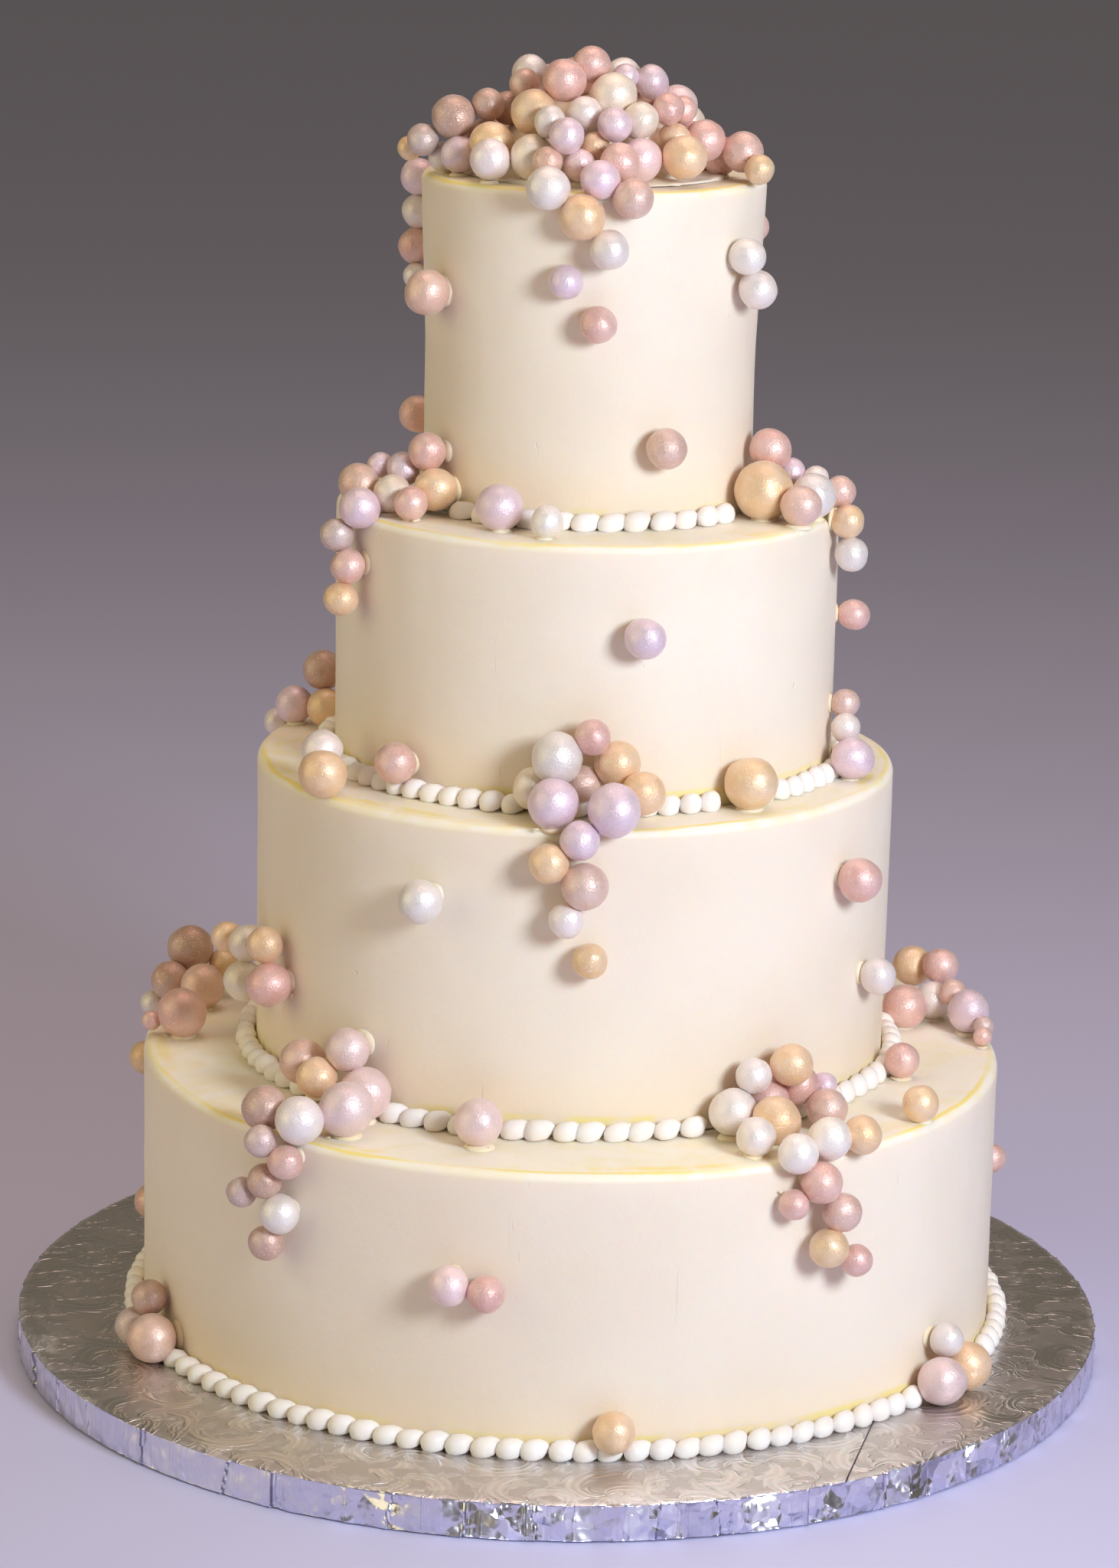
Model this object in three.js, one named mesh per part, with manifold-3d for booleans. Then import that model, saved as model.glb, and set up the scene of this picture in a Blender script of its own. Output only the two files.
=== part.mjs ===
// A four-tier wedding cake on its round foil-covered board: smooth cream tiers, a row of piped
// beads round each tier's foot, and sugar pearls heaped on top and tumbling down the sides.
// Millimetres, +Z up, the middle of the board's underside at the origin, the front facing -Y.

import * as THREE from "three";
import { mergeVertices } from "three/addons/utils/BufferGeometryUtils.js";
import Module from "manifold-3d";

const wasm = await Module();
wasm.setup();

// ---- sizes ----

const BOARD = { radius: 261, thick: 18, edge: 2, sides: 64 };

// from the top tier down; flare is how much wider its top is than its lower half, and shift is how
// far the tier stands to the right of the board's middle
const TIERS = [
  { radius: 76, flare: 2.6, height: 151, shift: 6, sides: 36 },
  { radius: 116.5, flare: 0, height: 121, shift: 6.5, sides: 42 },
  { radius: 149, flare: 0, height: 141, shift: 3, sides: 48 },
  { radius: 203, flare: 0, height: 130, shift: 4, sides: 56 },
];
const TIER_EDGE = 4; // the smoothed top edge of the cream

// The piped beads: how many go round each tier, how far one stands out and up, and its size at the
// pinch between two beads. Its widest line is at a low part of its height, its crest well inwards.
const BEADS = [42, 75, 83, 115];
const BEAD = { out: 9.5, up: 10, pinch: 0.62, widestAt: 0.28, crestAt: 0.4 };

// the mound of icing under the pearls on top of the cake
const MOUND = { radius: 43, height: 34, sides: 14, rings: 3 };

const GAP = 0.3; // between pieces that touch
const BITE = 0.9; // how far a pearl is pressed into the one it leans on
const PEARL_SWELL = 1.1; // a faceted pearl's corners stand out, to hold about a round pearl's volume

// where each tier's foot and top are
let level = BOARD.thick;
for (const tier of [...TIERS].reverse()) {
  tier.foot = level;
  tier.top = level + tier.height;
  level = tier.top;
}

// ---- the pearls ----
// A pearl is [tier, angle, out, up, across]. Tier 1 is the top one. The angle goes round the
// tier from the front (0) to the right (90). Out is the space between the tier's side and the
// pearl, and up is the space under it down to the tier's foot. Tier 0 is the heap on the very
// top, whose pearls measure out from the tier's middle line and up from its top.

const PEARLS = {
  crown: [
    [0, 0, 45, 10, 14], [0, 9, 49, 20, 16], [0, -6, 54, 3, 15], [0, -11, 58, 15, 16],
    [0, -18, 62, 4, 14], [0, -29, 48, 2, 20], [0, -43, 61, 1, 19], [0, -54, 47, 6, 20],
    [0, 24, 41, 20, 17], [0, 12, 26, 28, 21], [0, -6, 38, 23, 16], [0, -20, 50, 20, 15],
    [0, -35, 37, 20, 21], [0, 41, 43, 26, 15], [0, 45, 42, 11, 16], [0, 38, 55, 3, 20],
    [0, 22, 45, 2, 20], [0, 9, 59, 3, 18], [0, 0, 75, -5, 18], [1, 12, 1, 140, 18],
    [0, 56, 41, 25, 13], [0, 62, 47, 9, 19], [0, 69, 62, 4, 19], [0, 79, 49, 1, 18],
    [0, 63, 76, 0, 14], [1, -5, 1, 125, 21], [0, -13, 78, -8, 20], [1, 6, 3, 116, 18],
    [0, -67, 58, 1, 17], [0, -79, 63, 0, 14], [0, -76, 73, 8, 15], [0, -83, 79, 5, 11],
    [0, -72, 57, 15, 20], [0, -70, 44, 24, 15], [0, -81, 32, 21, 16], [0, -20, 28, 36, 20],
    [0, -110, 20, 19, 18], [0, -90, 21, 34, 18], [0, -67, 28, 34, 14], [0, -3, 15, 43, 17],
    [0, 30, 21, 40, 12], [0, 54, 23, 35, 16], [0, 101, 44, 0, 17], [0, 128, 42, 0, 16],
    [0, 148, 44, 1, 18], [0, 170, 43, 2, 21], [0, 193, 45, 0, 18], [0, 215, 44, 1, 20],
    [0, 238, 45, 0, 19], [0, 259, 44, 2, 17], [0, 139, 59, 0, 16], [0, 166, 61, 0, 13],
    [0, 207, 59, 0, 16], [0, 243, 61, 0, 14], [0, 122, 33, 10, 15], [0, 145, 34, 14, 17],
    [0, 170, 34, 17, 19], [0, 195, 35, 17, 18], [0, 220, 34, 16, 18], [0, 133, 21, 26, 14],
    [0, 180, 20, 27, 18], [0, 180, -5, 34, 17],
  ],
  top_side_pair: [[1, 54, 1, 112, 17], [1, 58, 3, 96, 18]],
  top_side_behind: [[1, 116, 1, 116, 14]],
  top_side_upper: [[1, -8, 0, 104, 16]],
  top_side_lower: [[1, 2, 0, 85, 17]],
  top_side_foot: [[1, 24, 0, 28, 19]],
  top_side_left: [[1, -110, 0, 24, 18]],
  top_side_string: [
    [1, -107, 0, 136, 17], [1, -108, 0, 119, 17], [1, -107, 1, 102, 17], [1, -104, 1, 88, 13],
  ],
  top_side_string_end: [[1, -59, 0, 90, 21]],
  second_ledge_left: [
    [1, -53, 0, 2, 20], [1, -58, 1, 19, 18], [1, -66, 9, 10, 16], [1, -72, 18, 13, 12],
    [1, -69, 26, 2, 19], [1, -60, 17, 0, 18], [1, -51, 17, 0, 16], [1, -60, 36, -6, 19],
    [2, -63, 2, 105, 16], [2, -60, 0, 90, 16], [2, -60, 4, 75, 16],
  ],
  second_ledge_right: [
    [1, 61, 2, 0, 27], [1, 71, 2, 20, 20], [1, 69, 28, 0, 21], [1, 58, 28, 0, 19],
    [1, 76, 15, 11, 13], [1, 75, 26, 10, 12], [1, 76, 36, 3, 15], [2, 73, 0, 110, 16],
    [2, 73, 2, 95, 16],
  ],
  second_foot_left: [[1, -25, 6, 0, 21]],
  second_foot_front: [[1, -10, 19, 0, 15]],
  second_side_front: [[2, 12, 0, 72, 19]],
  second_side_right: [[2, 88, 1, 62, 15]],
  third_ledge_left: [[2, -51, 23, -1, 22], [2, -57, 15, 7, 19]],
  third_ledge_left_back: [
    [2, -108, 3, 0, 19], [2, -111, 7, 15, 20], [2, -109, 20, 0, 18], [2, -110, 33, -7, 13],
  ],
  third_foot_left: [[2, -42, 0, 6, 19]],
  third_ledge_right: [[2, 71, 5, 0, 20], [2, 75, 2, 15, 14], [2, 79, 0, 24, 14]],
  third_foot_right: [[2, 36, 0, 0, 24]],
  third_front: [
    [2, 0, 0, 7, 17], [2, 7, 0, 15, 21], [2, -5, 5, 17, 23], [2, 1, 6, 29, 16], [2, 11, 14, 5, 20],
    [2, -10, 1, 3, 19], [2, -5, 20, -1, 23], [2, 5, 27, -1, 24], [3, 1, 0, 130, 18],
    [3, -4, 1, 119, 18], [3, 2, 0, 108, 21], [3, -1, 2, 94, 16],
  ],
  third_front_last: [[3, 3, 0, 76, 16]],
  third_side_left: [[3, -25, 0, 96, 20]],
  third_side_right: [[3, 55, 0, 96, 20]],
  third_side_far_right: [[3, 64, 0, 46, 17]],
  third_wall_three: [[3, -72, 0, 49, 18], [3, -76, 7, 50, 15], [3, -71, 2, 30, 19]],
  third_wall_two: [[3, -60, 0, 37, 21], [3, -62, 2, 61, 17]],
  base_ledge_far_left: [
    [3, -102, 22, 0, 22], [3, -104, 43, 1, 19], [3, -104, 54, -9, 13], [3, -108, 35, 12, 23],
    [3, -110, 23, 8, 15],
  ],
  base_ledge_left_pair: [[3, -87, 23, 0, 24], [3, -88, 45, 2, 10]],
  base_ledge_left_edge: [[4, -102, 0, 94, 17]],
  base_ledge_left: [
    [3, -34.5, 0, 1, 24], [3, -38.5, 1, 21, 20], [3, -42, 14, 7, 19], [3, -47.5, 4, 10, 21],
    [3, -32.5, 22, 0, 25], [3, -36, 45, -1, 22], [3, -41.5, 44, 1, 21], [3, -39.5, 57, -7, 15],
    [4, -36.5, 0, 114, 16], [4, -39.5, 2, 103, 16], [4, -43, 6, 96, 14], [4, -37, 0, 88, 18],
    [4, -39, 3, 74, 16],
  ],
  base_foot_front: [[3, -13.5, 9, 0, 22]],
  base_ledge_right: [
    [3, 41, 0, 8, 19], [3, 37, 7, 21, 20], [3, 35.5, 0, 4, 20], [3, 31.5, 4, 16, 17],
    [3, 27, 2, 0, 22], [3, 32, 22, 0, 22], [3, 23.5, 37, -2, 18], [3, 42, 15, 0, 19],
    [3, 46, 6, 9, 12],
  ],
  base_ledge_right_front: [
    [3, 34, 48, -1, 20], [3, 28.5, 51, -4, 18], [3, 39, 50, -1, 18], [4, 31.5, 0, 113, 19],
    [4, 27.5, 0, 104, 14], [4, 34, 3, 100, 18], [4, 32.5, 3, 82, 18], [4, 36, 7, 77, 15],
  ],
  base_ledge_far_right: [
    [3, 104.5, 24, 0, 19], [3, 101, 3, -1, 22], [3, 101, 33, 10, 13], [3, 106.5, 30, 15, 18],
    [3, 111.5, 21, 11, 20], [3, 96.5, 34, 1, 21], [3, 92.5, 45, 3, 10], [3, 90.5, 44, 1, 9],
  ],
  base_ledge_right_back: [[3, 72, 6, 0, 17]],
  base_ledge_right_mid: [[3, 54, 40, 0, 17]],
  base_side_right: [[4, 101, 0, 54, 15]],
  base_side_pair: [[4, -14, 0, 70, 18], [4, -9.5, 0, 68, 17]],
  base_side_left: [[4, -105, 0, 16, 18]],
  board_left: [[4, -62.5, 1, 0, 23], [4, -68, 4, 1, 19], [4, -66.5, 0, 17, 17]],
  board_front: [[4, 6, 0, 5, 19]],
  board_right: [[4, 52.5, 3, 0, 23], [4, 58.5, 3, 1, 23], [4, 55.5, 1, 19, 16]],
};

// The back repeats the front's groups, turned round the cake: the first pearls of each.
const BACK = [
  { name: "back_second_ledge", from: "second_ledge_left", turn: -112, pearls: 5 },
  { name: "back_third_ledge", from: "third_front", turn: 171, pearls: 9 },
  { name: "back_base_ledge_left", from: "base_ledge_left", turn: -116, pearls: 8 },
  { name: "back_base_ledge_right", from: "base_ledge_right", turn: 113, pearls: 7 },
  { name: "back_board", from: "board_right", turn: 116, pearls: 3 },
  { name: "back_top_side", from: "top_side_pair", turn: 128, pearls: 2 },
  { name: "back_third_side", from: "third_side_left", turn: 158, pearls: 1 },
  { name: "back_base_side", from: "base_side_pair", turn: 178, pearls: 2 },
];

// ---- materials ----

const foil = new THREE.MeshStandardMaterial({ color: 0xb9b7b4, metalness: 0.9, roughness: 0.3 });
const cream = new THREE.MeshStandardMaterial({ color: 0xf1e3c9, metalness: 0, roughness: 0.5 });
const piping = new THREE.MeshStandardMaterial({ color: 0xf6efe0, metalness: 0, roughness: 0.55 });
const pearl = new THREE.MeshStandardMaterial({ color: 0xe0bfb4, metalness: 0.1, roughness: 0.3 });

// ---- solids ----

function toSolid(geometry) {
  const bare = geometry.clone();
  bare.deleteAttribute("normal");
  bare.deleteAttribute("uv");
  const merged = mergeVertices(bare, 1e-4);
  return new wasm.Manifold(new wasm.Mesh({
    numProp: 3,
    vertProperties: new Float32Array(merged.attributes.position.array),
    triVerts: new Uint32Array(merged.index.array),
  }));
}

function toGeometry(solid) {
  const { vertProperties, triVerts } = solid.getMesh();
  const geometry = new THREE.BufferGeometry();
  geometry.setAttribute("position", new THREE.BufferAttribute(new Float32Array(vertProperties), 3));
  geometry.setIndex(new THREE.BufferAttribute(new Uint32Array(triVerts), 1));
  return geometry;
}

// A lathe whose profile is [radius, height] pairs, stood upright on +Z.
function turned(profile, sides) {
  const points = profile.map(([radius, height]) => new THREE.Vector2(radius, height));
  return new THREE.LatheGeometry(points, sides).rotateX(Math.PI / 2);
}

// ---- the board and the tiers ----

function boardGeometry() {
  const { radius, thick, edge, sides } = BOARD;
  return turned([[0, 0], [radius, 0], [radius, thick - edge], [radius - edge, thick], [0, thick]], sides);
}

// how far out the cream's side is at a height
function wallAt({ radius, flare, foot, top }, height) {
  const middle = (foot + top) / 2;
  const share = (height - middle) / (top - TIER_EDGE - middle);
  return radius + flare * THREE.MathUtils.clamp(share, 0, 1);
}

function tierGeometry(tier) {
  const { radius, flare, foot, top, sides } = tier;
  const low = foot + GAP;
  const rim = top - TIER_EDGE;
  const side = flare ? [[radius, low], [radius, (foot + top) / 2]] : [[radius, low]];
  const wide = wallAt(tier, rim);
  return turned([[0, low], ...side, [wide, rim], [wide - TIER_EDGE, top], [0, top]], sides);
}

// ---- the piped borders ----

// A ring swept round the tier's foot. Its section swells at each bead and narrows between beads:
// the corner against the cake, the low outer side, and the top.
function borderGeometry({ radius }, count) {
  const positions = [];
  const index = [];
  const sections = count * 2;
  for (let i = 0; i < sections; i += 1) {
    const angle = (i / sections) * 2 * Math.PI;
    const size = i % 2 ? BEAD.pinch : 1;
    const section = [
      [radius + GAP, GAP],
      [radius + GAP + BEAD.out * size, GAP + BEAD.up * BEAD.widestAt * size],
      [radius + GAP + BEAD.out * BEAD.crestAt * size, GAP + BEAD.up * size],
    ];
    for (const [out, up] of section) {
      positions.push(out * Math.sin(angle), -out * Math.cos(angle), up);
    }
  }
  for (let i = 0; i < sections; i += 1) {
    const here = i * 3;
    const next = ((i + 1) % sections) * 3;
    for (let j = 0; j < 3; j += 1) {
      const k = (j + 1) % 3;
      index.push(here + j, next + j, next + k, here + j, next + k, here + k);
    }
  }
  const geometry = new THREE.BufferGeometry();
  geometry.setAttribute("position", new THREE.Float32BufferAttribute(positions, 3));
  geometry.setIndex(index);
  return geometry;
}

// ---- pearls ----

function pearlAt([tierNumber, angle, out, up, across], turn = 0) {
  const tier = TIERS[Math.max(tierNumber - 1, 0)];
  const wall = tierNumber ? tier.radius : 0;
  const foot = tierNumber ? tier.foot : tier.top;
  const reach = wall + out + across / 2;
  const around = THREE.MathUtils.degToRad(angle + turn);
  const centre = new THREE.Vector3(
    tier.shift + reach * Math.sin(around),
    -reach * Math.cos(around),
    foot + up + across / 2,
  );
  return { centre, radius: across / 2 };
}

function spaceBetween(a, b) {
  return a.centre.distanceTo(b.centre) - a.radius - b.radius;
}

// Each pearl of a group is pressed against the nearest one placed before it.
function leaning(pearls) {
  const placed = [];
  for (const item of pearls) {
    const nearest = placed.toSorted((a, b) => spaceBetween(item, a) - spaceBetween(item, b))[0];
    if (nearest) {
      item.towards = nearest.centre.clone().sub(item.centre).normalize();
      item.centre.addScaledVector(item.towards, spaceBetween(item, nearest) + BITE);
    }
    placed.push(item);
  }
  return placed;
}

// Moves a corner that is inside the cake or the board out to just clear of it.
function clearOfCake(corner) {
  corner.z = Math.max(corner.z, BOARD.thick + GAP);
  for (const tier of TIERS) {
    const x = corner.x - tier.shift;
    const reach = Math.hypot(x, corner.y);
    const sideways = wallAt(tier, corner.z) + GAP - reach;
    const upwards = tier.top + GAP - corner.z;
    if (sideways <= 0 || upwards <= 0 || corner.z < tier.foot - GAP) continue;
    if (upwards < sideways) {
      corner.z += upwards;
    } else {
      corner.x += (x / reach) * sideways;
      corner.y += (corner.y / reach) * sideways;
    }
  }
}

// A faceted pearl with one corner turned towards the pearl it leans on, flat where it sits on cream.
function pearlGeometry({ centre, radius, towards }, grow = 0, flatten = true) {
  const shape = new THREE.IcosahedronGeometry(radius * PEARL_SWELL + grow);
  shape.deleteAttribute("normal");
  shape.deleteAttribute("uv");
  const ball = mergeVertices(shape, 1e-4);
  const corner = new THREE.Vector3().fromBufferAttribute(ball.attributes.position, 0).normalize();
  const turn = new THREE.Quaternion().setFromUnitVectors(corner, towards ?? new THREE.Vector3(0, 0, 1));
  const spots = ball.attributes.position;
  for (let i = 0; i < spots.count; i += 1) {
    const spot = new THREE.Vector3().fromBufferAttribute(spots, i).applyQuaternion(turn).add(centre);
    if (flatten) clearOfCake(spot);
    spots.setXYZ(i, spot.x, spot.y, spot.z);
  }
  return ball;
}

function fused(solids) {
  return solids.reduce((whole, next) => whole.add(next));
}

// The icing mound on top of the cake: a low dome.
function moundSolid() {
  const { radius, height, sides, rings } = MOUND;
  const profile = [[0, 0]];
  for (let i = 0; i < rings; i += 1) {
    const rise = (i / rings) * (Math.PI / 2);
    profile.push([radius * Math.cos(rise), height * Math.sin(rise)]);
  }
  profile.push([0, height]);
  return toSolid(turned(profile, sides).translate(TIERS[0].shift, 0, TIERS[0].top + GAP));
}

// ---- the whole cake ----

const cake = new THREE.Group();

function addNode(name, geometry, material, shift = 0) {
  const mesh = new THREE.Mesh(geometry, material);
  mesh.name = name;
  mesh.position.x = shift;
  cake.add(mesh);
}

const groups = new Map();
for (const [name, rows] of Object.entries(PEARLS)) {
  groups.set(name, leaning(rows.map((row) => pearlAt(row))));
}
for (const { name, from, turn, pearls } of BACK) {
  groups.set(name, leaning(PEARLS[from].slice(0, pearls).map((row) => pearlAt(row, turn))));
}

addNode("board", boardGeometry(), foil);
TIERS.forEach((tier, i) => {
  addNode(`tier_${i + 1}`, tierGeometry(tier), cream, tier.shift);
});

// a border is squeezed away where a pearl sits on it
TIERS.forEach((tier, i) => {
  let border = toSolid(borderGeometry(tier, BEADS[i]).translate(tier.shift, 0, tier.foot));
  for (const item of [...groups.values()].flat()) {
    const size = item.radius * PEARL_SWELL + 2 * GAP;
    const out = Math.hypot(item.centre.x - tier.shift, item.centre.y) - tier.radius;
    const near = out > 0 && out < BEAD.out + size;
    const low = Math.abs(item.centre.z - tier.foot) < BEAD.up + size;
    if (near && low) border = border.subtract(toSolid(pearlGeometry(item, 2 * GAP, false)));
  }
  addNode(`border_${i + 1}`, toGeometry(border), piping);
});

for (const [name, items] of groups) {
  const solids = items.map((item) => toSolid(pearlGeometry(item)));
  if (name === "crown") solids.unshift(moundSolid());
  addNode(name, toGeometry(fused(solids)), pearl);
}

export default cake;
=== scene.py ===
import random
from math import cos, hypot, pi, radians, sin, tau

import bmesh
import bpy
from mathutils import Matrix, Vector


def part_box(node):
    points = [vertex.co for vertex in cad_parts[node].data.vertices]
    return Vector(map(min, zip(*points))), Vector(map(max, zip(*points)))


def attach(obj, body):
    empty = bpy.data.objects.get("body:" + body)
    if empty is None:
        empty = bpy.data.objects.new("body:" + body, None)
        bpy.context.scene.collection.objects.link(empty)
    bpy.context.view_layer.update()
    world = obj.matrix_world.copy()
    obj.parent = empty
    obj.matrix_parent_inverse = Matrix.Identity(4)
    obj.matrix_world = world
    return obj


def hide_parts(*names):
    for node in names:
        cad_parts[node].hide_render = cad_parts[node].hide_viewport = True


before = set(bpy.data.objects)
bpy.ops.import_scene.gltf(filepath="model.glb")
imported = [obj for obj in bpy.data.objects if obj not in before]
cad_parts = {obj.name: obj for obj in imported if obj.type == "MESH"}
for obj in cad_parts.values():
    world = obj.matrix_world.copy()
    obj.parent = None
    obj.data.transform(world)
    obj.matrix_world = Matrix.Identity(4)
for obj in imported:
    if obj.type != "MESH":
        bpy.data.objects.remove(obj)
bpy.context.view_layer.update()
MM = 0.001


# ---- the cake board ----
# A round board of wood, wrapped in silver foil paper that is embossed with curling leaves. The foil is
# drawn down over the rim, where it lies in pleats and creases, and is glued under the board.

board_low, board_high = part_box("board")
BOARD_RADIUS = board_high.x
BOARD_TOP = board_high.z
RIM_FACES = 1640
RIM_BANDS = 12
RIM_ROUND = 1.2 * MM
RIM_DENTS = ((15 * MM, 2.4 * MM), (6 * MM, 0.9 * MM))  # the size and depth of each kind
RIM_WIDTH = 3 * MM
FOIL_RADIUS = BOARD_RADIUS - 0.9 * MM
FOIL_RINGS = (RIM_WIDTH, 22 * MM, 60 * MM)
PLEATS = 40
PLEAT_DEPTH = 1.2 * MM
PLEAT_WIDTH = 1.5 * MM
PLEAT_TAIL = 11 * MM
PLEAT_LEAN = 4 * MM
FOLD_REACH = 2 * MM
FOIL_SILVER = (0.82, 0.79, 0.79, 1)
FOIL_DULL = (0.62, 0.59, 0.58, 1)
# The side's silver is tinted lavender: a painted reflection of the table.
FOIL_SIDE_REFLECTION = (0.73, 0.72, 0.84, 1)
# For the lighter patches near the top's edge and for the painted highlight along the rim.
FOIL_BRIGHT = (0.97, 0.96, 0.98, 1)
# Dark for the painted shadow at each pleat's foot, and for the seam's line on top.
PLEAT_SHADOW_AND_SEAM = (0.16, 0.15, 0.18, 1)
LEAF_CELLS = ((44 * MM, 3, 9, 0.25), (24 * MM, 4, -8, 0.15))  # size, arms, twist and softness
LEAF_LOBES = 46
LEAF_RIBS = 5
LEAF_HEIGHT = 0.6 * MM
FACETS = (15 * MM, 7 * MM)
SEAM_AT = (128 * MM, -226 * MM)
SEAM_SLOPE = 0.228


def select_only(*pieces):
    bpy.ops.object.select_all(action="DESELECT")
    for piece in pieces:
        piece.select_set(True)
    bpy.context.view_layer.objects.active = pieces[0]


def settle(piece, name):
    """Names a new primitive and puts its place, turn and scale in its mesh."""
    select_only(piece)
    bpy.ops.object.transform_apply(location=True, rotation=True, scale=True)
    piece.name = piece.data.name = name
    return piece


def pick(piece, kind, wanted):
    """In edit mode, selects only the faces, edges or vertices that wanted says yes to."""
    bpy.ops.mesh.select_mode(type=kind)
    bpy.ops.mesh.select_all(action="DESELECT")
    mesh = bmesh.from_edit_mesh(piece.data)
    for item in {"FACE": mesh.faces, "EDGE": mesh.edges, "VERT": mesh.verts}[kind]:
        item.select_set(wanted(item))
    mesh.select_flush_mode()
    bmesh.update_edit_mesh(piece.data)


def cut_bands(heights):
    """Bisects the whole mesh level at each height, so that its sides have points to shape."""
    for height in heights:
        bpy.ops.mesh.select_all(action="SELECT")
        bpy.ops.mesh.bisect(plane_co=(0, 0, height), plane_no=(0, 0, 1))


def ripple(piece, kind, size, strength, group="", **settings):
    """Shapes the surface by a Displace modifier and applies it."""
    texture = bpy.data.textures.new(piece.name + "_ripple", kind)
    texture.noise_scale = size
    for setting, value in settings.items():
        setattr(texture, setting, value)
    select_only(piece)
    modifier = piece.modifiers.new("ripple", "DISPLACE")
    modifier.texture = texture
    modifier.strength = strength
    modifier.texture_coords = "LOCAL"
    modifier.vertex_group = group
    bpy.ops.object.modifier_apply(modifier=modifier.name)


def near_rim(height, radius, shift=0.0, slack=0.2 * MM):
    """Says whether an edge runs round the rim at that height and radius."""
    def on_rim(point):
        return abs(point.z - height) < slack and abs(hypot(point.x - shift, point.y) - radius) < slack
    return lambda edge: all(on_rim(vertex.co) for vertex in edge.verts)


def add_node(made, kind, inputs=None, **settings):
    """A shader node with its settings, and its inputs set or linked."""
    new = made.node_tree.nodes.new(kind)
    for setting, value in settings.items():
        setattr(new, setting, value)
    for socket, value in (inputs or {}).items():
        if isinstance(value, bpy.types.NodeSocket):
            made.node_tree.links.new(value, new.inputs[socket])
        else:
            new.inputs[socket].default_value = value
    return new


def maths(made, operation, *values):
    return add_node(made, "ShaderNodeMath", dict(enumerate(values)), operation=operation).outputs[0]


def times(made, first, second):
    return maths(made, "MULTIPLY", first, second)


def plus(made, first, second):
    return maths(made, "ADD", first, second)


def minus(made, first, second):
    return maths(made, "SUBTRACT", first, second)


def larger(made, first, second):
    return maths(made, "MAXIMUM", first, second)


def fade(made, value, start, end, low=0.0, high=1.0):
    """Goes smoothly from low to high as value goes from start to end."""
    inputs = {"Value": value, "From Min": start, "From Max": end, "To Min": low, "To Max": high}
    return add_node(made, "ShaderNodeMapRange", inputs, interpolation_type="SMOOTHSTEP").outputs[0]


def noise(made, place, scale, detail=2.0, roughness=0.5, distortion=0.0):
    inputs = {
        "Vector": place, "Scale": scale, "Detail": detail, "Roughness": roughness,
        "Distortion": distortion,
    }
    return add_node(made, "ShaderNodeTexNoise", inputs).outputs["Fac"]


def blend_colours(made, amount, first, second):
    new = add_node(made, "ShaderNodeMix", {"Factor": amount}, data_type="RGBA")
    for socket, value in ((new.inputs[6], first), (new.inputs[7], second)):
        if isinstance(value, bpy.types.NodeSocket):
            made.node_tree.links.new(value, socket)
        else:
            socket.default_value = value
    return new.outputs[2]


def new_material(name, **sockets):
    """A material with one Principled shader, whose own sockets hold what is the same all over."""
    made = bpy.data.materials.new(name)
    made.use_nodes = True
    for socket, value in sockets.items():
        made.node_tree.nodes["Principled BSDF"].inputs[socket.replace("_", " ")].default_value = value
    return made


def join_shader(made, socket, source):
    made.node_tree.links.new(source, made.node_tree.nodes["Principled BSDF"].inputs[socket])


def relief(made, height, strength, distance, under=None):
    inputs = {"Height": height, "Strength": strength, "Distance": distance}
    if under is not None:
        inputs["Normal"] = under
    return add_node(made, "ShaderNodeBump", inputs).outputs["Normal"]


def object_place(made):
    return add_node(made, "ShaderNodeTexCoord").outputs["Object"]


def vectors(made, operation, *values, **named):
    inputs = {**dict(enumerate(values)), **named}
    return add_node(made, "ShaderNodeVectorMath", inputs, operation=operation).outputs


def wandering(made, place, scale, far):
    """The same place pushed about by a noise, so that the shapes laid out in it aren't regular."""
    push = add_node(made, "ShaderNodeTexNoise", {"Vector": place, "Scale": scale}).outputs["Color"]
    return vectors(made, "ADD", place, vectors(made, "SCALE", push, Scale=far)[0])[0]


def curling_leaves(made, flat, cell, arms, twist, edge):
    """One size of embossed scroll: ribbed arms with lobed edges, curling out of each cell's middle."""
    cells = add_node(
        made, "ShaderNodeTexVoronoi", {"Vector": flat, "Scale": 1 / cell}, voronoi_dimensions="2D",
    ).outputs
    away = vectors(made, "SUBTRACT", flat, cells["Position"])[0]
    across = add_node(made, "ShaderNodeSeparateXYZ", {0: away}).outputs
    out = maths(made, "DIVIDE", vectors(made, "LENGTH", away)["Value"], cell)
    angle = maths(made, "ARCTAN2", across[1], across[0])
    curl = plus(made, times(made, angle, arms), times(made, out, twist))
    arm = maths(made, "SINE", plus(made, curl, times(made, cells["Color"], tau)))
    lobe = maths(made, "SINE", plus(made, times(made, out, LEAF_LOBES), times(made, curl, 2)))
    rib = maths(made, "SINE", plus(made, times(made, curl, LEAF_RIBS), times(made, out, 10)))
    blade = plus(made, arm, times(made, lobe, 0.3))
    blade = fade(made, blade, 0.15 - edge, 0.15 + edge)
    raised = times(made, blade, fade(made, rib, -1, 1, 0.6, 1.0))
    return times(made, raised, fade(made, out, 0.8, 0.5))


def crumpled_facets(made, place, size):
    """Flat facets, each tilted its own way: how far each point stands out by its facet's tilt."""
    cells = add_node(made, "ShaderNodeTexVoronoi", {"Vector": place, "Scale": 1 / size}).outputs
    away = vectors(made, "SUBTRACT", place, cells["Position"])[0]
    tilt = vectors(made, "SUBTRACT", cells["Color"], (0.5, 0.5, 0.5))[0]
    return vectors(made, "DOT_PRODUCT", away, tilt)["Value"]


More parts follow.
